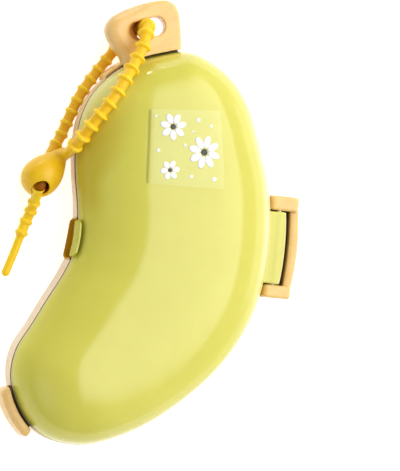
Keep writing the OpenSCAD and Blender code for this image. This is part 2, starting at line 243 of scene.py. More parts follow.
def plastic(name, deep, pale, rough=(0.16, 0.24), grain=2400.0, grain_h=0.00002, flow=90.0, flow_h=0.00012,
            sss=0.12, radius=(0.004, 0.0025, 0.0008), coat=0.0, ior=1.49, specks=0.0, mottle=160.0,
            scuff=0.0, edge=0.0, tint=(), calm=None):
    """Moulded plastic: cloudy colour between two tones, fine grain, slow flow waves and faint wear, with a painted
    highlight along sharp edges and painted light from the tints.
    """
    mat = bpy.data.materials.new(name)
    nt, nodes, links = nodes_of(mat)
    out = add(nodes, "ShaderNodeOutputMaterial")
    sh = add(nodes, "ShaderNodeBsdfPrincipled")
    links.new(sh.outputs[0], out.inputs[0])
    sh.inputs["IOR"].default_value = ior
    sh.inputs["Subsurface Weight"].default_value = sss
    sh.inputs["Subsurface Radius"].default_value = radius
    sh.inputs["Subsurface Scale"].default_value = 1.0
    sh.inputs["Coat Weight"].default_value = coat
    sh.inputs["Coat Roughness"].default_value = 0.06
    co = add(nodes, "ShaderNodeTexCoord")
    n1 = add(nodes, "ShaderNodeTexNoise")
    n1.inputs["Scale"].default_value = mottle
    n1.inputs["Detail"].default_value = 4.0
    n1.inputs["Roughness"].default_value = 0.55
    links.new(co.outputs["Object"], n1.inputs["Vector"])
    ramp = add(nodes, "ShaderNodeValToRGB")
    ramp.color_ramp.elements[0].position = 0.3
    ramp.color_ramp.elements[0].color = (*deep, 1)
    ramp.color_ramp.elements[1].position = 0.7
    ramp.color_ramp.elements[1].color = (*pale, 1)
    links.new(n1.outputs["Fac"], ramp.inputs["Fac"])
    colour = ramp.outputs["Color"]
    if specks:
        n4 = add(nodes, "ShaderNodeTexNoise")
        n4.inputs["Scale"].default_value = 1800.0
        n4.inputs["Detail"].default_value = 2.0
        links.new(co.outputs["Object"], n4.inputs["Vector"])
        r4 = add(nodes, "ShaderNodeMapRange")
        r4.inputs["From Min"].default_value = 0.66
        r4.inputs["From Max"].default_value = 0.8
        r4.inputs["To Max"].default_value = specks
        links.new(n4.outputs["Fac"], r4.inputs["Value"])
        mix = add(nodes, "ShaderNodeMix", data_type="RGBA")
        mix.inputs["B"].default_value = (*[min(1, x * 1.08 + 0.03) for x in pale], 1)
        links.new(r4.outputs["Result"], mix.inputs["Factor"])
        links.new(colour, mix.inputs["A"])
        colour = mix.outputs["Result"]
    # painted highlight: the colour turns paler along sharp convex edges
    if edge:
        geo = add(nodes, "ShaderNodeNewGeometry")
        r5 = add(nodes, "ShaderNodeMapRange")
        r5.inputs["From Min"].default_value = 0.52
        r5.inputs["From Max"].default_value = 0.62
        r5.inputs["To Max"].default_value = edge
        links.new(geo.outputs["Pointiness"], r5.inputs["Value"])
        mix5 = add(nodes, "ShaderNodeMix", data_type="RGBA")
        mix5.inputs["B"].default_value = (*[min(1, x * 1.1 + 0.06) for x in pale], 1)
        links.new(r5.outputs["Result"], mix5.inputs["Factor"])
        links.new(colour, mix5.inputs["A"])
        colour = mix5.outputs["Result"]
    # painted light: each tint mixes in a tone of painted shade or painted highlight where its mesh attribute says
    for attribute, tone in tint:
        at = add(nodes, "ShaderNodeAttribute")
        at.attribute_name = attribute
        mix7 = add(nodes, "ShaderNodeMix", data_type="RGBA")
        mix7.inputs["B"].default_value = (*tone, 1)
        links.new(at.outputs["Fac"], mix7.inputs["Factor"])
        links.new(colour, mix7.inputs["A"])
        colour = mix7.outputs["Result"]
    if calm:
        at = add(nodes, "ShaderNodeAttribute")
        at.attribute_name = calm
        for socket, full, least in (("Specular IOR Level", 0.5, 0.08), ("Coat Weight", coat, 0.0), ("Subsurface Weight", sss, 0.02)):
            r8 = add(nodes, "ShaderNodeMapRange")
            r8.inputs["To Min"].default_value = full
            r8.inputs["To Max"].default_value = least
            links.new(at.outputs["Fac"], r8.inputs["Value"])
            links.new(r8.outputs["Result"], sh.inputs[socket])
    links.new(colour, sh.inputs["Base Color"])
    # roughness: cloudy, with faint rubbed streaks
    n2 = add(nodes, "ShaderNodeTexNoise")
    n2.inputs["Scale"].default_value = 45.0
    n2.inputs["Detail"].default_value = 6.0
    links.new(co.outputs["Object"], n2.inputs["Vector"])
    rr = add(nodes, "ShaderNodeMapRange")
    rr.inputs["From Min"].default_value = 0.3
    rr.inputs["From Max"].default_value = 0.7
    rr.inputs["To Min"].default_value = rough[0]
    rr.inputs["To Max"].default_value = rough[1]
    links.new(n2.outputs["Fac"], rr.inputs["Value"])
    rough_out = rr.outputs["Result"]
    if scuff:
        mp = add(nodes, "ShaderNodeMapping")
        mp.inputs["Scale"].default_value = (900.0, 60.0, 300.0)
        mp.inputs["Rotation"].default_value = (0.2, 0.3, 0.5)
        links.new(co.outputs["Object"], mp.inputs["Vector"])
        n6 = add(nodes, "ShaderNodeTexNoise")
        n6.inputs["Scale"].default_value = 1.0
        n6.inputs["Detail"].default_value = 3.0
        links.new(mp.outputs["Vector"], n6.inputs["Vector"])
        r6 = add(nodes, "ShaderNodeMapRange")
        r6.inputs["From Min"].default_value = 0.62
        r6.inputs["From Max"].default_value = 0.74
        r6.inputs["To Max"].default_value = scuff
        links.new(n6.outputs["Fac"], r6.inputs["Value"])
        s6 = add(nodes, "ShaderNodeMath", operation="ADD")
        links.new(rough_out, s6.inputs[0])
        links.new(r6.outputs["Result"], s6.inputs[1])
        rough_out = s6.outputs[0]
    links.new(rough_out, sh.inputs["Roughness"])
    # surface relief
    n3 = add(nodes, "ShaderNodeTexNoise")
    n3.inputs["Scale"].default_value = grain
    n3.inputs["Detail"].default_value = 2.0
    links.new(co.outputs["Object"], n3.inputs["Vector"])
    n5 = add(nodes, "ShaderNodeTexNoise")
    n5.inputs["Scale"].default_value = flow
    n5.inputs["Detail"].default_value = 0.0
    links.new(co.outputs["Object"], n5.inputs["Vector"])
    b1 = add(nodes, "ShaderNodeBump")
    b1.inputs["Strength"].default_value = 1.0
    b1.inputs["Distance"].default_value = grain_h
    links.new(n3.outputs["Fac"], b1.inputs["Height"])
    b2 = add(nodes, "ShaderNodeBump")
    b2.inputs["Strength"].default_value = 1.0
    b2.inputs["Distance"].default_value = flow_h
    links.new(n5.outputs["Fac"], b2.inputs["Height"])
    links.new(b2.outputs["Normal"], b1.inputs["Normal"])
    links.new(b1.outputs["Normal"], sh.inputs["Normal"])
    return mat


# lemon's 'deep' tint is painted shade on the lid's left wall
# the 'rim' tint of the lemon and the tab is a painted highlight
LEMON = plastic("lemon_plastic", (0.65, 0.605, 0.09), (0.68, 0.635, 0.10), rough=(0.10, 0.15), flow=45.0, flow_h=0.0001,
                grain_h=0.000006, sss=0.10, coat=0.35, scuff=0.05, edge=0.25, mottle=60.0, tint=(("deep", (0.57, 0.42, 0.02)), ("rim", (0.82, 0.74, 0.48)), ("shade", (0.20, 0.15, 0.02))), calm="calm")
# the tab's lemon: greener than the lid's and darker, the darkness painted shade on its face turned from the light; its
# pale tint is a painted highlight
TAB_LEMON_SHADED = plastic("tab_lemon_shaded", (0.475, 0.465, 0.003), (0.525, 0.515, 0.006), rough=(0.2, 0.3), flow=120.0, flow_h=0.00008,
                    grain_h=0.000006, sss=0.03, scuff=0.05, mottle=200.0, tint=(("rim", (0.80, 0.78, 0.22)),), calm="calm")
# peach's 'pocket' tint is painted shade in the finger recess
PEACH = plastic("peach_plastic", (0.77, 0.56, 0.31), (0.83, 0.62, 0.37), rough=(0.2, 0.3), sss=0.15, edge=0.3,
                tint=(("pocket", (0.60, 0.33, 0.008)), ("shade", (0.12, 0.05, 0.012))), calm="dull")
# apricot's reddish-brown slot tint is painted shade inside the stem's slot
# apricot's tints on the stem's left wall: a pale painted highlight at the rear edge and a deeper painted shade where it
# turns to the front
APRICOT = plastic("apricot_plastic", (0.85, 0.54, 0.18), (0.92, 0.61, 0.23), rough=(0.22, 0.32), sss=0.15,
                  grain_h=0.000015, specks=0.25, scuff=0.06, edge=0.3, tint=(("pale", (0.72, 0.62, 0.50)), ("painted_turn_shade", (0.48, 0.33, 0.08)), ("slot", (0.56, 0.21, 0.012)), ("shade", (0.085, 0.038, 0.003))),
                  calm="shade")
# silicone's dark red-brown tint is painted shade where the strap runs into the bulb's hole
# silicone's deeper orange tint is painted shade in the necks between the flanges
SILICONE = plastic("strap_silicone", (0.95, 0.60, 0.008), (0.985, 0.67, 0.014), rough=(0.32, 0.44), sss=0.2, ior=1.41,
                   radius=(0.004, 0.002, 0.0004), grain=3200.0, grain_h=0.000012, mottle=300.0, edge=0.15,
                   tint=(("neck", (0.80, 0.37, 0.004)), ("painted_mouth_shade", (0.22, 0.045, 0.002))), calm="painted_mouth_shade")
BULB_SILICONE = plastic("bulb_silicone", (0.85, 0.505, 0.007), (0.90, 0.56, 0.011), rough=(0.26, 0.38), sss=0.2, ior=1.43,
                        radius=(0.004, 0.002, 0.0004), grain=3200.0, grain_h=0.000012, mottle=300.0,
                        tint=(("shade", (0.30, 0.055, 0.002)),))
# the film's tint is painted shade along its left border
FILM = plastic("print_film", (0.72, 0.685, 0.165), (0.74, 0.705, 0.18), rough=(0.16, 0.22), flow=60.0, flow_h=0.00005,
               grain_h=0.000004, sss=0.08, coat=0.2, scuff=0.04, tint=(("painted_border_shade", (0.36, 0.32, 0.03)),))
INK_WHITE = plastic("ink_white", (0.86, 0.86, 0.85), (0.93, 0.93, 0.92), rough=(0.28, 0.4), grain=5200.0, grain_h=0.000004,
                    flow_h=0.00001, sss=0.0, mottle=700.0)
INK_DARK = plastic("ink_charcoal", (0.035, 0.036, 0.038), (0.055, 0.056, 0.058), rough=(0.3, 0.42), grain=5200.0,
                   grain_h=0.000004, flow_h=0.00001, sss=0.0, mottle=700.0)
CLIP = plastic("clip_plastic", (0.84, 0.60, 0.36), (0.90, 0.68, 0.44), rough=(0.34, 0.46), sss=0.1)


def steel():
    mat = bpy.data.materials.new("drawn_steel")
    nt, nodes, links = nodes_of(mat)
    out = add(nodes, "ShaderNodeOutputMaterial")
    sh = add(nodes, "ShaderNodeBsdfPrincipled")
    links.new(sh.outputs[0], out.inputs[0])
    sh.inputs["Metallic"].default_value = 1.0
    co = add(nodes, "ShaderNodeTexCoord")
    mp = add(nodes, "ShaderNodeMapping")
    mp.inputs["Scale"].default_value = (9000.0, 300.0, 9000.0)
    mp.inputs["Rotation"].default_value = (0, 0, math.radians(6))
    links.new(co.outputs["Object"], mp.inputs["Vector"])
    n = add(nodes, "ShaderNodeTexNoise")
    n.inputs["Scale"].default_value = 1.0
    n.inputs["Detail"].default_value = 3.0
    links.new(mp.outputs["Vector"], n.inputs["Vector"])
    ramp = add(nodes, "ShaderNodeValToRGB")
    ramp.color_ramp.elements[0].color = (0.42, 0.42, 0.43, 1)
    ramp.color_ramp.elements[1].color = (0.68, 0.68, 0.70, 1)
    links.new(n.outputs["Fac"], ramp.inputs["Fac"])
    links.new(ramp.outputs["Color"], sh.inputs["Base Color"])
    rr = add(nodes, "ShaderNodeMapRange")
    rr.inputs["To Min"].default_value = 0.2
    rr.inputs["To Max"].default_value = 0.42
    links.new(n.outputs["Fac"], rr.inputs["Value"])
    links.new(rr.outputs["Result"], sh.inputs["Roughness"])
    b = add(nodes, "ShaderNodeBump")
    b.inputs["Distance"].default_value = 0.00001
    links.new(n.outputs["Fac"], b.inputs["Height"])
    links.new(b.outputs["Normal"], sh.inputs["Normal"])
    return mat


STEEL = steel()

def mark(o, name, values):
    """Store a value a point on the mesh, for the material to read."""
    values = np.clip(np.asarray(values, float), 0, 1)
    layer_ = o.data.attributes.new(name, "FLOAT", "POINT")
    layer_.data.foreach_set("value", values.astype(np.float32))


def places(o):
    """The mesh's points in drawing mm."""
    return np.array([v.co[:] for v in o.data.vertices]) * 1000 - SHIFT


# ---------------------------------------------------------------- strap
ROUTE = [(-41.5, 26, 8.5), (-39, 29.5, 9), (-37.8, 29.8, 13.2), (-37.6, 31, 18.6), (-36.5, 33.6, 24.4),
         (-34.2, 37.6, 29), (-31.6, 41.8, 31.8), (-28.2, 46.6, 34), (-24.6, 51.3, 35.6), (-20.7, 56.5, 36),
         (-17.2, 61.8, 35.2), (-13.3, 67.1, 32.8), (-9.7, 72.4, 30.6), (-7.1, 77.1, 29.2), (-5.4, 82, 27.6),
         (-3.3, 85.6, 22.8), (-2.6, 85.5, 16.5), (-3.4, 84.9, 10.8), (-7.6, 82, 6), (-10.5, 78.1, 3.9),
         (-13.7, 74.6, 3.5), (-17.2, 70.4, 3.4), (-21, 65.9, 3.4), (-24.8, 61, 3.4), (-28.2, 55.9, 3.4),
         (-31, 50.8, 3.4), (-33.5, 45.6, 3.4), (-35.8, 40.8, 3.5), (-38.4, 36.1, 4.4), (-42.1, 31.1, 6.6),
         (-46.4, 23.4, 9.6), (-48.2, 19, 12.6), (-49.4, 15.6, 14), (-50, 15.6, 13.6), (-49.9, 13, 11.6),
         (-50.4, 8.7, 7.6), (-51.5, 4.2, 4.8), (-53.1, 0.1, 3.6), (-54.9, -4.6, 3.2), (-56.1, -8.1, 2.7),
         (-58.7, -14.8, 2.2), (-62.35, -23.25, 2)]
line, s_line = even(curve_through(ROUTE, 24), 0.22)
LONG = s_line[-1]


def frames_along(p):
    t = np.gradient(p, axis=0)
    t /= np.linalg.norm(t, axis=1)[:, None]
    n = np.cross(t[0], [0, 0, 1.0])
    n /= np.linalg.norm(n)
    out = [n]
    for i in range(1, len(p)):
        n = out[-1] - (out[-1] @ t[i]) * t[i]
        out.append(n / np.linalg.norm(n))
    n = np.array(out)
    return t, n, np.cross(t, n)


def where(y, low, high):
    """Length along the strap where it passes y, between two lengths."""
    ok = (s_line > low) & (s_line < high)
    i = np.argmin(np.where(ok, abs(line[:, 1] - y), 1e9))
    return s_line[i]


# bead places: an even pitch down the front leg, pulled a little longer than that of the slack rear leg
PITCH_FRONT, PITCH_REAR = 6.25, 5.56
tail_start = where(-4.4, LONG * 0.6, LONG)
hole = where(12.6, LONG * 0.6, LONG)
FRONT_LAST = 89.7
beads = [FRONT_LAST - k * PITCH_FRONT for k in range(12)] + [FRONT_LAST + k * PITCH_REAR for k in range(1, 15)]
tail_beads = [where(y, LONG * 0.6, LONG) for y in (14.9, 8.9, 5.1, 0.6)] + [tail_start]


def bead_radius(s):
    """Radius of the strap at each length: a cord with flanged beads and hollowed necks."""
    s = np.asarray(s, float)
    slim = smoothstep(84, 104, s)               # the rear leg is a little slimmer than the pulled front leg
    r = 2.4 - 0.12 * slim
    span = smoothstep(hole - 6, hole - 1, s)
    r = r * (1 - span) + 1.72 * span
    for b in beads:
        d = np.abs(s - b)
        full = 1 - 0.48 * smoothstep(90, 108, b)
        r = np.maximum(r, 2.36 - 0.12 * slim + 1.16 * full * np.exp(-(d / 0.82) ** 4) + 0.2 * np.exp(-(d / 1.7) ** 2))
    for b in tail_beads:
        d = np.abs(s - b)
        r = np.maximum(r, 1.74 + 1.2 * np.exp(-(d / 1.25) ** 2.6))
    # plain rod after the last bead, with a rounded tip
    rod = smoothstep(tail_start + 0.6, tail_start + 2.4, s)
    r = r * (1 - rod) + 1.8 * rod
    end = np.clip((s - (LONG - 1.9)) / 1.9, 0, 1)
    return r * np.sqrt(np.maximum(1 - end ** 2, 0.0004))


tt, nn, bb = frames_along(line)
SIDES = 28
ang = 2 * np.pi * np.arange(SIDES) / SIDES
rad = bead_radius(s_line)
ring_pts = line[:, None, :] + rad[:, None, None] * (np.cos(ang)[None, :, None] * nn[:, None, :] + np.sin(ang)[None, :, None] * bb[:, None, :])
pts = ring_pts.reshape(-1, 3)
faces = []
n = len(line)
for i in range(n - 1):
    for k in range(SIDES):
        a, b = i * SIDES + k, i * SIDES + (k + 1) % SIDES
        faces.append((a, b, b + SIDES, a + SIDES))
pts = np.concatenate([pts, [line[0], line[-1]]])
for k in range(SIDES):
    faces.append(((k + 1) % SIDES, k, n * SIDES))
    faces.append(((n - 1) * SIDES + k, (n - 1) * SIDES + (k + 1) % SIDES, n * SIDES + 1))
strap = new_object("beaded_strap", pts, faces, "base", SILICONE)
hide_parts("strap_cord")
# painted shade: the necks between the flanges are a deeper orange, most of all on the slack rear leg
_rear = smoothstep(92, 104, s_line) * smoothstep(hole - 2, hole - 8, s_line)
_painted_neck_shade = (0.3 + 0.25 * _rear) * smoothstep(3.1 - 0.35 * _rear, 2.5 - 0.1 * _rear, rad) * smoothstep(hole - 1, hole - 4, s_line)
mark(strap, "neck", np.concatenate([np.repeat(_painted_neck_shade, SIDES), [0, 0]]))
# painted shade: the strap turns dark red-brown, and duller, where it runs into the bulb's hole
_mouth = where(14.9, LONG * 0.6, LONG)
mark(strap, "painted_mouth_shade", np.concatenate([np.repeat(0.92 * smoothstep(_mouth - 0.4, _mouth - 1.2, s_line) * smoothstep(_mouth - 8, _mouth - 6, s_line), SIDES), [0, 0]]))


# ---------------------------------------------------------------- distance fields
def poly_field(poly, wind=True):
    """Signed distance to a closed polygon, in x and y; negative inside."""
    a = np.asarray(poly, float)
    b = np.roll(a, -1, axis=0)
    return seg_field(a, b, wind)


def seg_field(a, b, wind):
    d = b - a
    l2 = np.maximum((d * d).sum(1), 1e-12)

    def f(x, y):
        shape = np.broadcast(x, y).shape
        px = np.broadcast_to(x, shape).ravel()
        py = np.broadcast_to(y, shape).ravel()
        out = np.empty(px.shape)
        for k in range(0, len(px), 20000):
            qx, qy = px[k:k + 20000, None], py[k:k + 20000, None]
            rx, ry = qx - a[:, 0], qy - a[:, 1]
            t = np.clip((rx * d[:, 0] + ry * d[:, 1]) / l2, 0, 1)
            ex, ey = rx - t * d[:, 0], ry - t * d[:, 1]
            e2 = ex * ex + ey * ey
            j = e2.argmin(1)
            r = np.sqrt(e2[np.arange(len(j)), j])
            if wind:
                up_ = (a[:, 1] <= qy) & (b[:, 1] > qy)
                down = (a[:, 1] > qy) & (b[:, 1] <= qy)
                side = d[:, 0] * ry - d[:, 1] * rx
                w = (up_ & (side > 0)).sum(1) - (down & (side < 0)).sum(1)
                inside = w != 0
            else:
                side = (d[:, 0] * ry - d[:, 1] * rx)[np.arange(len(j)), j]
                inside = side > 0
            out[k:k + 20000] = np.where(inside, -r, r)
        return out.reshape(shape)
    return f


def near_outline(lo, hi, margin=14.0):
    """Distance to the seam's outline, from its segments near a box. The outline runs anticlockwise."""
    p = OUT[::4]
    q = np.roll(p, -1, axis=0)
    ok = (p[:, 0] > lo[0] - margin) & (p[:, 0] < hi[0] + margin) & (p[:, 1] > lo[1] - margin) & (p[:, 1] < hi[1] + margin)
    return seg_field(p[ok], q[ok], False)


def smax(a, b, k):
    h = np.maximum(k - np.abs(a - b), 0) / k
    return np.maximum(a, b) + h * h * k * 0.25


def smin(a, b, k):
    return -smax(-a, -b, k)


def slab(d2, z, z0, z1, r):
    """Plate between two heights with its edges rounded by r."""
    w = np.abs(z - (z0 + z1) / 2) - (z1 - z0) / 2 + r
    u = d2 + r
    return np.minimum(np.maximum(u, w), 0) + np.hypot(np.maximum(u, 0), np.maximum(w, 0)) - r


def rbox2(x, y, cx, cy, hx, hy, r):
    u, v = np.abs(x - cx) - hx + r, np.abs(y - cy) - hy + r
    return np.minimum(np.maximum(u, v), 0) + np.hypot(np.maximum(u, 0), np.maximum(v, 0)) - r


def nets(f, lo, hi, h, rounds=3):
    """Smooth closed mesh of f = 0: surface nets, then each point is moved onto the surface."""
    ax = [lo[i] + h * np.arange(int(math.ceil((hi[i] - lo[i]) / h)) + 1) for i in range(3)]
    val = np.broadcast_to(f(ax[0][:, None, None], ax[1][None, :, None], ax[2][None, None, :]), tuple(len(a) for a in ax))
    val = np.where(np.abs(val) < 1e-9, 1e-9, val)
    neg = val < 0
    nx, ny, nz = val.shape
    cells = (nx - 1, ny - 1, nz - 1)
    total = np.zeros(cells + (3,))
    count = np.zeros(cells)
    quads = []
    for axis in range(3):
        lo_s = [slice(None)] * 3
        hi_s = [slice(None)] * 3
        lo_s[axis], hi_s[axis] = slice(0, -1), slice(1, None)
        v0, v1 = val[tuple(lo_s)], val[tuple(hi_s)]
        cross = neg[tuple(lo_s)] != neg[tuple(hi_s)]
        idx = np.argwhere(cross)
        t = v0[cross] / (v0[cross] - v1[cross])
        pos = idx.astype(float)
        pos[:, axis] += t
        pos = pos * h + np.array([a[0] for a in ax])
        o1, o2 = [k for k in range(3) if k != axis]
        for d1 in (0, -1):
            for d2 in (0, -1):
                c = idx.copy()
                c[:, o1] += d1
                c[:, o2] += d2
                ok = ((c >= 0) & (c < np.array(cells))).all(1)
                np.add.at(total, tuple(c[ok].T), pos[ok])
                np.add.at(count, tuple(c[ok].T), 1)
        quads.append((idx, o1, o2))
    number = np.full(cells, -1)
    used = count > 0
    number[used] = np.arange(used.sum())
    pts = total[used] / count[used][:, None]
    faces = []
    for idx, o1, o2 in quads:
        corner = []
        for d1, d2 in ((0, 0), (-1, 0), (-1, -1), (0, -1)):
            c = idx.copy()
            c[:, o1] += d1
            c[:, o2] += d2
            corner.append(c)
        ok = np.ones(len(idx), bool)
        for c in corner:
            ok &= ((c >= 0) & (c < np.array(cells))).all(1)
        faces.append(np.column_stack([number[tuple(c[ok].T)] for c in corner]))
    faces = np.concatenate(faces)
    g = lambda p: f(p[:, 0], p[:, 1], p[:, 2])
    e = 0.01

    def settle(p):
        v = g(p)
        grad = np.column_stack([g(p + np.eye(3)[k] * e) - v for k in range(3)]) / e
        step = grad * (v / np.maximum((grad * grad).sum(1), 1e-4))[:, None]
        size = np.linalg.norm(step, axis=1)[:, None]
        return p - step * np.minimum(1, 0.5 * h / np.maximum(size, 1e-9))

    pairs = np.concatenate([faces[:, [0, 1]], faces[:, [1, 2]], faces[:, [2, 3]], faces[:, [3, 0]]])
    for k in range(rounds):
        pts = settle(pts)
        if k < rounds - 1:
            acc = np.zeros_like(pts)
            cnt = np.zeros(len(pts))
            for i, j in ((0, 1), (1, 0)):
                np.add.at(acc, pairs[:, i], pts[pairs[:, j]])
                np.add.at(cnt, pairs[:, i], 1)
            pts = 0.45 * pts + 0.55 * acc / cnt[:, None]
    for k in range(2):
        pts = settle(pts)
    return pts, faces


def field_object(name, f, lo, hi, h, body, material, rounds=3):
    p, q = nets(f, lo, hi, h, rounds)
    return new_object(name, p, q, body, material)


# ---------------------------------------------------------------- sliding bulb
E47 = np.array([math.sin(math.radians(47)), math.cos(math.radians(47)), 0.0])
BULB = np.array([-46.5, 21.0, 8.7])
NECK = [((-43.6, 23.9, 8.7), 5.6), ((-41.4, 26.6, 8.8), 4.5), ((-39.6, 28.9, 9.4), 3.5), ((-38.3, 29.9, 11.9), 2.9),
        ((-37.8, 30.3, 15.0), 2.5)]
inside_line = line[(s_line > hole - 14) & (s_line < hole + 3)]
HOLE_A = np.array([-46.8, 20.5, 11.9])
HOLE_B = np.array([-50.3, 12.6, 14.9])


def bulb_field(x, y, z):
    x, y, z = x - BULB[0], y - BULB[1], z - BULB[2]
    t = (x * E47[0] + y * E47[1]) / 10.5
    side = x * E47[1] - y * E47[0]
    rho = np.sqrt(side * side + z * z)
    q = np.sqrt(t * t + (rho / (8.45 * (1 - 0.13 * np.clip(t, -1.4, 1.4)))) ** 2 + 1e-9)
    d = (q - 1) * 8.4
    x, y, z = x + BULB[0], y + BULB[1], z + BULB[2]
    neck = None
    for (p0, r0), (p1, r1) in zip(NECK[:-1], NECK[1:]):
        p0, p1 = np.array(p0), np.array(p1)
        v = p1 - p0
        u = np.clip(((x - p0[0]) * v[0] + (y - p0[1]) * v[1] + (z - p0[2]) * v[2]) / (v @ v), 0, 1)
        e = np.sqrt((x - p0[0] - u * v[0]) ** 2 + (y - p0[1] - u * v[1]) ** 2 + (z - p0[2] - u * v[2]) ** 2) - (r0 + (r1 - r0) * u)
        neck = e if neck is None else smin(neck, e, 0.5)
    d = smin(d, neck, 2.6)
    v = HOLE_B - HOLE_A
    u = np.clip(((x - HOLE_A[0]) * v[0] + (y - HOLE_A[1]) * v[1] + (z - HOLE_A[2]) * v[2]) / (v @ v), 0, 3)
    bore = np.sqrt((x - HOLE_A[0] - u * v[0]) ** 2 + (y - HOLE_A[1] - u * v[1]) ** 2 + (z - HOLE_A[2] - u * v[2]) ** 2) - 3.6
    return smax(d, -bore, 0.5)


bulb = field_object("strap_bulb_body", bulb_field, (-60, 7, -1.5), (-33, 38, 20), 0.42, "base", BULB_SILICONE)
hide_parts("strap_bulb")
q = places(bulb)
_ax = HOLE_B - HOLE_A
_u = np.clip(((q - HOLE_A) @ _ax) / (_ax @ _ax), 0, 3)
_r = np.linalg.norm(q - HOLE_A - _u[:, None] * _ax, axis=1)
_e = (q - BULB) @ E47 / 10.5
_skin = np.sqrt(_e ** 2 + (np.linalg.norm((q - BULB) - ((q - BULB) @ E47)[:, None] * E47, axis=1) / 8.4) ** 2)
mark(bulb, "shade", smoothstep(4.3, 3.85, _r) * smoothstep(0.985, 0.93, _skin) * smoothstep(-55, -54, q[:, 0]))

# ---------------------------------------------------------------- lid
ANGLES = [5.4, 7.2, 9.2, 11.5, 14, 17, 20, 23, 26, 29, 32, 35, 38, 41, 44, 47, 50, 53, 56, 59, 62, 65,
          68, 71, 74, 77, 79.5, 82, 84, 86, 87.5, 88.8]


def rim_line(z):
    """The thin proud line along the lid's rim: the wall above it stands back a little."""
    z = z - LID_Z
    return 0.26 * smoothstep(1.5, 1.9, z) * (1 - smoothstep(3.5, 15.0, z))


rows = []
for a in ANGLES[::-1]:
    c, z = lid_row(a, LID_H, LID_Z)
    rows.append(ring(c, rim_line(z), z))
for z in (1.9, 1.7, 1.5, 1.3, 1.1):
    rows.append(ring(0.9994, rim_line(LID_Z + z), LID_Z + z))
# the rim's outer edge rolls in to the seam's groove
for inset, z in ((0, 0.95), (0.04, 0.8), (0.16, 0.66), (0.36, 0.56), (0.6, 0.52), (1.0, 0.5), (1.15, 0.45), (1.22, 0.3), (1.22, 0.08), (1.3, 0),
                 (1.55, 0.03), (1.72, 0.16), (WALL, 0.4)):
    rows.append(ring(1, inset, LID_Z + z))
for a in ANGLES[2::2]:
    c, z = lid_row(a, LID_H - WALL, LID_Z)
    rows.append(ring(c, WALL, z))
# only rows of falling height between the rim's own rows are kept in order
pts, faces = skin(rows)
lid = new_object("lid_shell", pts, faces, "lid", LEMON, merge=0.03)
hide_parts("front_lid")
q = places(lid)
_edge = np.interp(q[:, 1], [p[1] for p in LEFT[::-1]], [p[0] for p in LEFT[::-1]])
_in = q[:, 0] - _edge
_wide = 9 + 12 * smoothstep(14, 34, q[:, 1])
# painted shade: a deeper golden tone in the wall near the left rim, the side turned from the light
mark(lid, "deep", 0.6 * smoothstep(_wide, 0.35 * _wide, _in) * smoothstep(-2, 14, q[:, 1]) * smoothstep(60, 44, q[:, 1] + 0.35 * _in) * (q[:, 0] < 20) * smoothstep(18.4, 19.4, q[:, 2]))
# painted highlight: the rim's line and the right edge are paler; painted shade: dark down in the seam's groove
_right = smoothstep(8, 38, q[:, 0]) * smoothstep(-75, -25, q[:, 1])
_outer = np.interp(q[:, 1], [p[1] for p in RIGHT[::-1]], [p[0] for p in RIGHT[::-1]])
_near = smoothstep(9, 2, _outer - q[:, 0]) * smoothstep(-45, -5, q[:, 1]) * smoothstep(55, 35, q[:, 1])
mark(lid, "rim", np.maximum(0.55 * smoothstep(18.4, 18.0, q[:, 2]) * smoothstep(16.8, 17.2, q[:, 2]), 0.75 * _near))
_groove = smoothstep(17.15, 16.9, q[:, 2]) * smoothstep(16.4, 16.5, q[:, 2])
mark(lid, "shade", 0.8 * _groove)
# the side wall is duller than the crown, but for the stem end and the hinge side
mark(lid, "calm", smoothstep(37, 27, q[:, 2]) * (1 - _right) * (1 - 0.8 * smoothstep(36, 52, q[:, 1])) * (1 - 0.45 * smoothstep(-58, -80, q[:, 1]))
     + _groove)

# ---------------------------------------------------------------- back shell
BASE = [(0.78, 0, 0), (0.84, 0.2, 0), (0.9, 1, 0), (0.945, 2.5, 0), (0.972, 4.5, 0), (0.985, 7, 0),
        (0.992, 10, 0), (0.997, 13, 0), (1, 15.3, 0)]
smooth_base = curve_through(BASE, 12)[:, :2]
smooth_base[:, 1] = np.maximum.accumulate(np.maximum(smooth_base[:, 1], 0))
heights = [0.0, 0.06, 0.2, 0.42, 0.75, 1.15, 1.7, 2.3, 3.0, 3.6] + list(np.arange(4.0, 15.2, 0.3))
prof = [(float(np.interp(z, smooth_base[:, 1] + np.arange(len(smooth_base)) * 1e-7, smooth_base[:, 0])), z) for z in heights]


def recess(y_ring, z):
    """How far the wall stands in at the finger recess, whose rim stands proud and nearly flat."""
    rim = rbox2(y_ring, z, -6.75, 14.4, 9.25, 10.0, 3.2)
    pocket = rbox2(y_ring, z, -6.75, 15.8, 8.25, 10.0, 3.0)
    side = O[:, 0] < 0
    off = np.abs(y_ring + 6.75)
    proud = 0.3 + 0.7 * smoothstep(9.2, 7.2, off) + 1.05 * np.maximum(0, 1 - (off / 9.25) ** 2)
    return (-proud * smoothstep(0.3, -0.45, rim) + (2.2 + proud) * smoothstep(0.3, -0.35, pocket)) * side


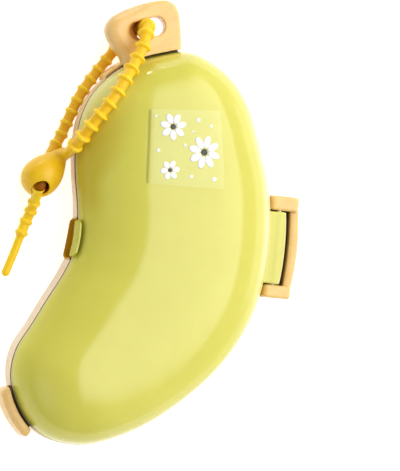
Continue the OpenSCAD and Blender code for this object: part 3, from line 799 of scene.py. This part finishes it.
outer = [ring(low(c), recess(O[:, 1], z) if z > 3 else 0, z) for c, z in prof]
rim_in = recess(O[:, 1], SEAM - 0.6)
for inset, drop in ((0, 0.75), (0.03, 0.6), (0.12, 0.47), (0.28, 0.4), (0.5, 0.37)):
    outer.append(ring(1, inset + rim_in, SEAM - drop))
rec = np.maximum(recess(O[:, 1], SEAM), 0)
shift_in = lambda base: np.maximum(base, np.where(rec > 0.05, rec + 0.75 * (base / 2.0), base))
lip = [ring(1, shift_in(1.5), SEAM - 0.37), ring(1, shift_in(1.6), SEAM - 0.3), ring(1, shift_in(1.65), SEAM - 0.05), ring(1, shift_in(2.0), SEAM), ring(1, shift_in(2.2), SEAM + 0.06), ring(1, shift_in(2.25), SEAM + 0.2), ring(1, shift_in(2.25), SEAM + 0.95),
       ring(1, shift_in(2.4), SEAM + 1.15), ring(1, shift_in(2.6), SEAM + 1.2), ring(1, shift_in(2.95), SEAM + 1.2),
       ring(1, shift_in(3.15), SEAM + 1.1), ring(1, shift_in(3.2), SEAM + 0.9), ring(1, shift_in(3.2), 13.6),
       ring(1, shift_in(2.9), 13.0)]
inner = []
for c, z in ((0.9985, 12.2), (0.995, 11), (0.99, 9.5), (0.985, 8), (0.972, 6), (0.95, 4.6), (0.925, 3.5), (0.9, 2.8), (0.86, 2.2), (0.82, 1.9), (0.76, WALL)):
    extra = np.maximum(recess(O[:, 1], z), 0) if z > 3 else 0
    inner.append(ring(low(c), WALL + extra, z))
pts, faces = skin(outer + lip + inner)
shell = new_object("back_shell_body", pts, faces, "base", PEACH, merge=0.03)
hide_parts("back_shell")
q = places(shell)
# painted shade: the finger recess is tinted a shadowed brown
mark(shell, "pocket", smoothstep(0.3, -0.1, rbox2(q[:, 1], q[:, 2], -6.75, 14.4, 9.25, 10.0, 3.2)) * (q[:, 0] < -20) * (q[:, 0] > -60))
_groove = smoothstep(SEAM - 0.52, SEAM - 0.42, q[:, 2]) * smoothstep(SEAM + 0.1, SEAM - 0.02, q[:, 2])
mark(shell, "shade", 0.85 * _groove)
mark(shell, "dull", np.maximum(_groove,
                               smoothstep(0.3, -0.1, rbox2(q[:, 1], q[:, 2], -6.75, 14.4, 9.25, 10.0, 3.2)) * (q[:, 0] < -20) * (q[:, 0] > -60)))

# ---------------------------------------------------------------- stem with its slot
STEM = [(-11.5, 66), (-14, 72.2), (-18, 77.6), (-20.3, 82.5), (-20.2, 86), (-17.6, 89.8), (-12.5, 92.7), (-7, 94.9), (-1.5, 96.52),
        (4, 97.5), (7.5, 97.1), (10.4, 95), (11.8, 91.5), (12.5, 86.5), (12.9, 78), (12.9, 70)]
stem2 = curve_through([(x, y, 0) for x, y in STEM], 5)[:, :2]
d_stem = poly_field(stem2[::-1])
d_foot = poly_field([(-20, 60), (-20, 74), (13, 82), (13, 66)])
SLOT_A, SLOT_B = np.array([-8, 83.5]), np.array([1.0, 86.0])
d_out_stem = near_outline((-22, 60), (14, 99))


def capsule(x, y, a, b):
    v = b - a
    u = np.clip(((x - a[0]) * v[0] + (y - a[1]) * v[1]) / (v @ v), 0, 1)
    return np.hypot(x - a[0] - u * v[0], y - a[1] - u * v[1])


def stem_field(x, y, z):
    ds, do, df = d_stem(x, y), d_out_stem(x, y), d_foot(x, y)
    # the slot flares to the right towards the rear, and the plate's left side is fully rounded
    deep = np.clip((22 - z) / 12, 0, 1)
    lean = smoothstep(1, -9, x)
    slot_d = capsule(x - deep * (2.5 + 5.2 * lean), y - 2.8 * deep * lean, SLOT_A, SLOT_B) - 4.1 + 1.6 * deep * lean
    soft = 1.3 + 3.7 * smoothstep(3, -13, x) + 0.9 * smoothstep(88, 95, y) * smoothstep(12, 6, x)
    plate = slab(ds, z, 10, 22, np.minimum(soft, 5.2))
    plate = smax(plate, -slot_d, 1.1)
    foot = slab(np.maximum(do - 1.6, df), z, 5, 15.6, 0.7)
    d = smin(plate, foot, 1.2)
    cut = np.minimum(np.maximum(do - 0.5, 15.0 - z), do + 0.5)
    return smax(d, -cut, 0.25)


stem = field_object("stem_with_slot", stem_field, (-22, 62, 4), (14, 99, 23), 0.36, "base", APRICOT)
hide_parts("stem_loop")
q = places(stem)
_do = d_out_stem(q[:, 0], q[:, 1])
_deep = np.clip((22 - q[:, 2]) / 12, 0, 1)
_lean = smoothstep(1, -9, q[:, 0])
_wall = np.abs(capsule(q[:, 0] - _deep * (2.5 + 5.2 * _lean), q[:, 1] - 2.8 * _deep * _lean, SLOT_A, SLOT_B) - 4.1 + 1.6 * _deep * _lean)
_foot = (0.3 + 0.65 * smoothstep(-13, -7, q[:, 0])) * smoothstep(0.8, 0.55, _do) * smoothstep(14.0, 15.0, q[:, 2]) * smoothstep(21.9, 21.0, q[:, 2])
# painted shade on the slot's walls, down inside the slot
_painted_slot_shade = 0.8 * smoothstep(0.7, 0.3, _wall) * smoothstep(21.7, 19.2, q[:, 2]) * (_do > 3)
mark(stem, "shade", _foot)
mark(stem, "slot", _painted_slot_shade)
# painted light on the left wall: a paler painted highlight at the rear edge, and deeper painted shade where it turns to
# the front
_left = smoothstep(-6, -12, q[:, 0]) * smoothstep(1.5, 3.0, _do) * (_painted_slot_shade < 0.05)
mark(stem, "pale", 0.45 * _left * smoothstep(14.5, 12.0, q[:, 2]))
mark(stem, "painted_turn_shade", 0.3 * _left * smoothstep(14.0, 15.5, q[:, 2]) * smoothstep(20.5, 18.5, q[:, 2]))

# ---------------------------------------------------------------- tip
d_tip_poly = poly_field([(-40, -63.3), (-51, -80), (-59.2, -102.5), (-80, -110), (-80, -75.8)])
d_out_tip = near_outline((-74, -106), (-46, -66))


def tip_field(x, y, z):
    do = d_out_tip(x, y)
    d2 = smax(do - 5.6, d_tip_poly(x, y), 3.4)
    d = slab(d2, z, 8.0, 19.5, 2.3)
    cut = np.minimum(np.maximum(do - 1.4, 14.2 - z), do + 0.9)
    return smax(d, -cut, 0.35)


tip = field_object("end_tip_body", tip_field, (-74, -106, 5.5), (-46, -66, 20.5), 0.36, "base", APRICOT)
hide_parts("end_tip")
q = places(tip)
_do = d_out_tip(q[:, 0], q[:, 1])
mark(tip, "shade", smoothstep(1.75, 1.45, _do) * smoothstep(13.0, 14.0, q[:, 2]) * smoothstep(19.5, 19.1, q[:, 2]))

# ---------------------------------------------------------------- hinge
HX, HY, HZ = 57.7, -10.5, SEAM + 2
ct, st_ = math.cos(math.radians(6)), math.sin(math.radians(6))


def local(x, y, z):
    """Hinge frame: u across, v along the pin, w up."""
    x, y = x - HX, y - HY
    return x * ct - y * st_, x * st_ + y * ct, z - HZ


def bow(h, u, e):
    return [(u + e * (1 - (i / 12) ** 2), h * i / 12) for i in range(-12, 13)]


d_bar = poly_field(bow(18, 8.9, 1.5) + bow(18, 4.5, 1)[::-1])
d_leaf = poly_field(bow(15.9, 2.6, 1) + [(-9, 15.9), (-9, -15.9)])
d_out_hinge = near_outline((42, -40), (72, 18))


def arm_field(u, v, w, v0, v1, near_u, root):
    body = rbox2(u, w, (near_u + 8.6) / 2, -3.4, (8.6 - near_u) / 2, 5.6, 2.0)
    body = slab(body, v, v0, v1, 1.3)
    low = rbox2(u, w, (root + near_u + 2) / 2, -5.7, (near_u + 2 - root) / 2, 3.3, 0.5)
    low = slab(low, v, v0, v1, 0.6)
    return smin(body, low, 0.6)


def bracket_field(x, y, z):
    u, v, w = local(x, y, z)
    d = smin(arm_field(u, v, w, 16.1, 22.6, -4.4, -6.4), arm_field(u, v, w, -22.6, -16.9, -4.1, -7.3), 0.3)
    bar = slab(d_bar(u, v), w, -9, 0, 1.0)
    near = 4.5 + 1 - (v / 18) ** 2
    bar = smax(bar, (w - (u - near)) * 0.7071 + 0.7, 1.6)
    web = slab(rbox2(u, v, 1, 0, 5, 17.5, 0.3), w, -9, -6.8, 0.3)
    web = smax(web, 0.1 - d_out_hinge(x, y), 0.2)
    return smin(smin(d, bar, 0.8), web, 0.4)


bracket = field_object("hinge_bracket_body", bracket_field, (46, -36, 8), (72.5, 16, 21.4), 0.36, "base", APRICOT)
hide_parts("hinge_bracket")
q = places(bracket)
_u, _v, _w = local(q[:, 0], q[:, 1], q[:, 2])
_near = 5.5 - (_v / 18) ** 2
_gap = smoothstep(_near + 1.15, _near - 0.05, _u) * smoothstep(17.0, 16.4, np.abs(_v + 0.4)) * smoothstep(0.3, -0.5, _w)
_arm = smoothstep(16.75, 16.3, np.abs(_v + 0.4)) * smoothstep(1.5, 0.8, _w)
mark(bracket, "shade", np.maximum(0.86 * _gap, 0.86 * _arm * (_u < 5)))


def leaf_field(x, y, z):
    u, v, w = local(x, y, z)
    plate = slab(d_leaf(u, v + 0.5), w, -1.4, 2.3, 0.65)
    barrel = slab(np.hypot(u, w) - 2.3, v, -16.4, 15.4, 0.3)
    d = smin(plate, barrel, 0.8)
    d = smax(d, -(np.hypot(u, w) - 1.08), 0.25)
    return smax(d, -(d_out_hinge(x, y) + 1.3), 0.2)


leaf = field_object("hinge_leaf_body", leaf_field, (47, -29, 15), (64, 9, 21), 0.32, "lid", LEMON)
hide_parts("lid_hinge_leaf")
q = places(leaf)
_u, _v, _w = local(q[:, 0], q[:, 1], q[:, 2])
# painted highlight: a paler line along the leaf's right edge
mark(leaf, "rim", 0.7 * smoothstep(2.9 - (_v / 15.9) ** 2, 3.3 - (_v / 15.9) ** 2, _u) * smoothstep(0.8, 1.6, _w))

# ---------------------------------------------------------------- snap tab
d_out_tab = near_outline((-42, -18), (-30, 4))


def tab_field(x, y, z):
    do = d_out_tab(x, y)
    strip = np.abs(do - 0.85 + 0.03 * np.maximum(0, z - 19)) - 0.45
    face = rbox2(y, z, -6.75, 19.75, 7.85, 4.35, 2.5)
    r = 0.4
    u, v = strip + r, face + r
    d = np.minimum(np.maximum(u, v), 0) + np.hypot(np.maximum(u, 0), np.maximum(v, 0)) - r
    rib = slab(np.maximum(np.abs(do - 0.35) - 0.55, np.abs(y + 7) - 5), z, 14.9, 15.9, 0.3)
    return smin(d, rib, 0.3)


tab = field_object("snap_tab_body", tab_field, (-42, -17, 14), (-31, 3, 26), 0.26, "snap_tab", TAB_LEMON_SHADED)
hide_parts("snap_tab")
q = places(tab)
mark(tab, "calm", smoothstep(24.0, 23.6, q[:, 2]))
# painted highlight: a paler line along the tab's top edge
mark(tab, "rim", 0.8 * smoothstep(23.6, 23.9, q[:, 2]))

# ---------------------------------------------------------------- printed film
dg = bpy.context.evaluated_depsgraph_get()
tree = BVHTree.FromObject(lid, dg)
inv = lid.matrix_world.inverted()


def on_lid(x, y, lift):
    """Point of the lid's crown over x, y, in drawing mm, raised along the surface's normal."""
    p = row((x, y, 60.0))
    hit, normal, _, _ = tree.ray_cast(inv @ Vector(p), Vector((0, 0, -1)))
    q = np.array(lid.matrix_world @ hit) * 1000.0 - SHIFT
    nrm = np.array(normal)
    return q + nrm * lift, nrm


CORNERS = [np.array(p, float) for p in ((-7.6, 49.2), (25.3, 48.8), (26.9, 14.6), (-9.0, 17.0))]


def film_xy(s, t):
    a = CORNERS[0] * (1 - s) + CORNERS[1] * s
    b = CORNERS[3] * (1 - s) + CORNERS[2] * s
    return a * (1 - t) + b * t


def sheet_on_lid(name, grid, lift, thick, material):
    """Thin closed sheet over the lid from a grid of x, y; its border turns down to the lid."""
    n1, n2 = len(grid), len(grid[0])
    top, low = [], []
    for i in range(n1):
        for j in range(n2):
            near = min(i, j, n1 - 1 - i, n2 - 1 - j) / 3.0
            up = lift * min(1.0, 0.25 + 0.75 * near)
            q, nrm = on_lid(*grid[i][j], up)
            top.append(q)
            low.append(q - nrm * thick)
    pts = top + low
    off = n1 * n2
    faces = []
    for i in range(n1 - 1):
        for j in range(n2 - 1):
            a, b, c, d = i * n2 + j, i * n2 + j + 1, (i + 1) * n2 + j + 1, (i + 1) * n2 + j
            faces += [(a, b, c, d), (d + off, c + off, b + off, a + off)]
    border = [(i, 0) for i in range(n1)] + [(n1 - 1, j) for j in range(1, n2)] + [(i, n2 - 1) for i in range(n1 - 2, -1, -1)] + [(0, j) for j in range(n2 - 2, 0, -1)]
    for (i, j), (k, l) in zip(border, border[1:] + border[:1]):
        a, b = i * n2 + j, k * n2 + l
        faces.append((a, b, b + off, a + off))
    return new_object(name, pts, faces, "lid", material)


G = 45
grid = []
for i in range(G):
    line_ = []
    for j in range(G):
        s, t = j / (G - 1), i / (G - 1)
        # rounded corners: the grid is drawn in near them
        cs, ct_ = s - 0.5, t - 0.5
        k = 1 - 0.012 * (max(0, abs(cs) + abs(ct_) - 0.85) / 0.15) ** 2
        line_.append(tuple(film_xy(0.5 + cs * k, 0.5 + ct_ * k)))
    grid.append(line_)
film = sheet_on_lid("clear_film", grid, 0.12, 0.2, FILM)
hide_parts("print_film")
film.data.set_sharp_from_angle(angle=math.radians(35))
# painted shade: a deeper line along the film's left border
q = places(film)
_s = (q[:, 1] - CORNERS[3][1]) / (CORNERS[0][1] - CORNERS[3][1])
_off = q[:, 0] - (CORNERS[3][0] + (CORNERS[0][0] - CORNERS[3][0]) * _s)
mark(film, "painted_border_shade", 0.75 * smoothstep(1.3, 0.7, _off))


def disc_grid(cx, cy, fn, nr_=5, na=48):
    """Points of a filled shape given by its edge radius at each angle."""
    out = [[(cx, cy)]]
    for i in range(1, nr_ + 1):
        out.append([(cx + fn(2 * math.pi * k / na) * i / nr_ * math.cos(2 * math.pi * k / na),
                     cy + fn(2 * math.pi * k / na) * i / nr_ * math.sin(2 * math.pi * k / na)) for k in range(na)])
    return out


def ink(shapes, name, lift, material):
    """Thin printed shapes on the film, each a filled disc of points."""
    pts, faces = [], []
    for shape in shapes:
        base = len(pts)
        na = len(shape[1])
        flat = [shape[0][0]] + [p for r in shape[1:] for p in r]
        for p in flat:
            q, nrm = on_lid(*p, lift)
            pts.append(q)
        nv = len(flat)
        for p in flat:
            q, nrm = on_lid(*p, lift - 0.05)
            pts.append(q)
        for k in range(na):
            faces.append((base, base + 1 + k, base + 1 + (k + 1) % na))
            faces.append((base + nv, base + nv + 1 + (k + 1) % na, base + nv + 1 + k))
        for r in range(len(shape) - 2):
            for k in range(na):
                a = base + 1 + r * na + k
                b = base + 1 + r * na + (k + 1) % na
                faces.append((a, a + na, b + na, b))
                faces.append((b + nv, b + na + nv, a + na + nv, a + nv))
        o = base + 1 + (len(shape) - 2) * na
        for k in range(na):
            a, b = o + k, o + (k + 1) % na
            faces.append((a, a + nv, b + nv, b))
    return new_object(name, pts, faces, "lid", material)


def flower(cx, cy, r, petals, turn, hole_=0.26):
    """Petals of one daisy: ovals round the centre."""
    out = []
    for k in range(petals):
        a = turn + 2 * math.pi * k / petals
        px, py = cx + 0.62 * r * math.cos(a), cy + 0.62 * r * math.sin(a)
        w = 0.86 * math.pi * 0.62 * r / petals
        l = 0.38 * r

        def edge(t, a=a, w=w, l=l):
            d = t - a
            return 1 / math.sqrt((math.cos(d) / l) ** 2 + (math.sin(d) / w) ** 2)
        out.append(disc_grid(px, py, edge, 4, 32))
    return out


DAISIES = [(3.0, 41.6, 6.0, 7, 0.2), (17.2, 30.6, 7.4, 8, 0.5), (1.6, 22.8, 4.4, 6, 0.1)]
white = []
dark = []
for cx, cy, r, petals, turn in DAISIES:
    white += flower(cx, cy, r, petals, turn)
    dark.append(disc_grid(cx, cy, lambda t, r=r: 0.2 * r, 3, 32))
for cx, cy, r in ((14.5, 44.6, 0.9), (20.5, 42.0, 0.7), (11.2, 20.0, 0.8), (8.4, 33.6, 0.7), (21.8, 18.9, 1.0), (-3.6, 31.4, 0.8), (12.0, 39.6, 0.5), (-4.6, 46.2, 0.6)):
    white.append(disc_grid(cx, cy, lambda t, r=r: r, 3, 20))
petal_piece = ink(white, "daisy_petals", 0.22, INK_WHITE)
centre_piece = ink(dark, "daisy_centres", 0.22, INK_DARK)

# ---------------------------------------------------------------- CAD pieces that stay: finish only
def bevel_node(name, width, material, angle=35):
    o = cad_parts[name]
    mod = o.modifiers.new("edges", "BEVEL")
    mod.width = width
    mod.segments = 3
    mod.limit_method = "ANGLE"
    mod.angle_limit = math.radians(angle)
    mod.use_clamp_overlap = True
    if not o.material_slots:
        o.data.materials.append(material)
    for s in o.material_slots:
        s.material = material


bevel_node("brush_clip_upper", 0.0004, CLIP)
bevel_node("brush_clip_lower", 0.0004, CLIP)
bevel_node("hinge_pin", 0.0002, STEEL)

# ---------------------------------------------------------------- floor and light
floor_mat = bpy.data.materials.new("floor")
nt, nodes, links = nodes_of(floor_mat)
out = add(nodes, "ShaderNodeOutputMaterial")
sh = add(nodes, "ShaderNodeBsdfPrincipled")
links.new(sh.outputs[0], out.inputs[0])
sh.inputs["Base Color"].default_value = (0.7, 0.7, 0.7, 1)
sh.inputs["Roughness"].default_value = 0.75
sh.inputs["Specular IOR Level"].default_value = 0.2
sh.inputs["Emission Color"].default_value = (1, 1, 1, 1)
sh.inputs["Emission Strength"].default_value = 0.72
fm = bpy.data.meshes.new("floor")
fm.from_pydata([(-5, -5, -0.00005), (5, -5, -0.00005), (5, 5, -0.00005), (-5, 5, -0.00005)], [], [(0, 1, 2, 3)])
fm.materials.append(floor_mat)
floor = bpy.data.objects.new("floor", fm)
bpy.context.scene.collection.objects.link(floor)

world = bpy.data.worlds.new("studio")
bpy.context.scene.world = world
world.use_nodes = True
bg = world.node_tree.nodes.get("Background")
bg.inputs["Color"].default_value = (1.0, 1.0, 1.0, 1)
wt = world.node_tree
tc = wt.nodes.new("ShaderNodeTexCoord")
sep = wt.nodes.new("ShaderNodeSeparateXYZ")
wt.links.new(tc.outputs["Generated"], sep.inputs[0])
sky = wt.nodes.new("ShaderNodeMapRange")
sky.interpolation_type = "SMOOTHSTEP"
sky.inputs["From Min"].default_value = 0.15
sky.inputs["From Max"].default_value = 0.8
sky.inputs["To Min"].default_value = 0.3
sky.inputs["To Max"].default_value = 0.85
wt.links.new(sep.outputs["X"], sky.inputs["Value"])
wt.links.new(sky.outputs["Result"], bg.inputs["Strength"])


def soft_edges(data, width):
    """Light that fades towards the borders of its panel."""
    data.use_nodes = True
    tree_ = data.node_tree
    em = tree_.nodes.get("Emission")
    geo = tree_.nodes.new("ShaderNodeNewGeometry")
    parts = tree_.nodes.new("ShaderNodeSeparateXYZ")
    tree_.links.new(geo.outputs["Parametric"], parts.inputs[0])
    sides = []
    for axis, edge in zip(("X", "Y"), width):
        mid = tree_.nodes.new("ShaderNodeMath")
        mid.operation = "SUBTRACT"
        mid.inputs[1].default_value = 0.5
        off = tree_.nodes.new("ShaderNodeMath")
        off.operation = "ABSOLUTE"
        fade = tree_.nodes.new("ShaderNodeMapRange")
        fade.interpolation_type = "SMOOTHSTEP"
        fade.inputs["From Min"].default_value = 0.5 - edge
        fade.inputs["From Max"].default_value = 0.5
        fade.inputs["To Min"].default_value = 1.0
        fade.inputs["To Max"].default_value = 0.0
        tree_.links.new(parts.outputs[axis], mid.inputs[0])
        tree_.links.new(mid.outputs[0], off.inputs[0])
        tree_.links.new(off.outputs[0], fade.inputs["Value"])
        sides.append(fade)
    both = tree_.nodes.new("ShaderNodeMath")
    both.operation = "MULTIPLY"
    tree_.links.new(sides[0].outputs["Result"], both.inputs[0])
    tree_.links.new(sides[1].outputs["Result"], both.inputs[1])
    tree_.links.new(both.outputs[0], em.inputs["Strength"])


def area(name, direction, distance, size, power, aim=(0.0, 0.0, 0.02), colour=(1, 1, 1), soft=(0.1, 0.1), flat=False):
    d = Vector(direction).normalized()
    data = bpy.data.lights.new(name, "AREA")
    soft_edges(data, soft)
    data.shape = "RECTANGLE"
    data.size, data.size_y = size
    data.energy = power
    data.color = colour
    o = bpy.data.objects.new(name, data)
    bpy.context.scene.collection.objects.link(o)
    o.location = Vector(aim) + d * distance
    if flat:                                    # the panel's width runs along x
        across = Vector((0, 1, 0)).cross(d).normalized()
        along = d.cross(across)
        o.rotation_euler = Matrix(((across.x, along.x, d.x), (across.y, along.y, d.y), (across.z, along.z, d.z))).to_euler()
    else:
        o.rotation_euler = (-d).to_track_quat("-Z", "Y").to_euler()
    o.visible_camera = False
    return o


key = area("key_softbox", (math.sin(math.radians(25.5)), 0.2, math.cos(math.radians(25.5))), 1.1, (1.28, 2.5), 23.4, soft=(0.1, 0.35), flat=True)
top = area("stem_strip", (-0.24, 0.97, 0.10), 0.9, (0.3, 0.1), 1.4, soft=(0.2, 0.2))
low_top = area("stem_strip_low", (0.05, 1.0, 0.04), 0.9, (0.15, 0.05), 0.12, soft=(0.2, 0.2))
side = area("hinge_side", (1.0, 0.06, 0.16), 1.0, (0.9, 0.32), 0.9, soft=(0.2, 0.2))
fill = area("low_left_fill", (-0.75, -0.4, 0.55), 1.2, (1.2, 1.2), 2.9, soft=(0.4, 0.4))

bpy.context.scene.view_settings.view_transform = "Standard"
bpy.context.scene.view_settings.look = "None"
